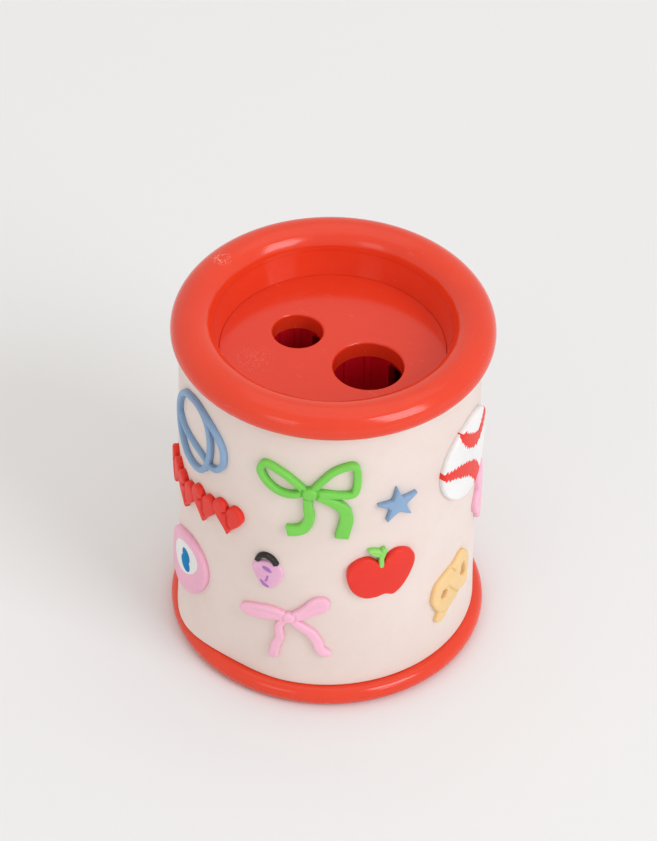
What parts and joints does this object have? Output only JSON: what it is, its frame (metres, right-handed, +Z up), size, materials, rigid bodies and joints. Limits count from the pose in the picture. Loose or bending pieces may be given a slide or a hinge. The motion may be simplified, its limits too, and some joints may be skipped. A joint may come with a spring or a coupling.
{
  "type": "pencil sharpener",
  "caption": "Spool-shaped manual pencil sharpener: lift-off lid with small and large pencil holes over a shavings cup in a soft sleeve with raised charms.",
  "frame": {"origin": "centre of the base, on the surface it stands on", "axes": "+Z up along the spool's axis; the two pencil holes lie on X, the small one at -X; the blades face +Y"},
  "size_m": [0.052, 0.052, 0.063],
  "materials": {
    "red_plastic": "glossy injection-moulded plastic",
    "core_plastic": "dark crimson moulded plastic",
    "sleeve_silicone": "matte cream silicone",
    "blade_steel": "ground steel",
    "screw_steel": "zinc-plated steel",
    "green_rubber": "soft satin rubber",
    "pink_rubber": "soft satin rubber",
    "rose_rubber": "soft satin rubber",
    "sky_rubber": "soft satin rubber",
    "deep_blue_rubber": "soft satin rubber",
    "red_rubber": "soft satin rubber",
    "white_rubber": "soft satin rubber",
    "tan_rubber": "soft satin rubber",
    "black_rubber": "soft satin rubber"
  },
  "bodies": {
    "base": {"waste_cup": "red_plastic", "silicone_sleeve": "sleeve_silicone", "green_bow": "green_rubber", "apple_leaf": "green_rubber", "back_green_bow": "green_rubber", "back_apple_leaf": "green_rubber", "pink_bow": "pink_rubber", "pink_flower": "pink_rubber", "back_pink_bow": "pink_rubber", "pink_disc": "rose_rubber", "purse_patch": "rose_rubber", "blue_star": "sky_rubber", "blue_cap": "sky_rubber", "back_stars": "sky_rubber", "disc_centre": "deep_blue_rubber", "apple": "red_rubber", "heart_garland": "red_rubber", "ball_stitches": "red_rubber", "back_apple": "red_rubber", "back_hearts": "red_rubber", "disc_oval": "white_rubber", "ball": "white_rubber", "tan_bow": "tan_rubber", "purse_handle": "black_rubber"},
    "lid": {"rim_collar": "red_plastic", "sharpener_plate": "red_plastic", "sharpener_core": "core_plastic", "small_blade": "blade_steel", "large_blade": "blade_steel", "blade_screws": "screw_steel", "core_screws": "screw_steel"}
  },
  "joints": [
    {"name": "lid_lift", "type": "slide", "parent": "base", "child": "lid", "axis": [0, 0, 1], "range_m": [0, 0.04]}
  ]
}
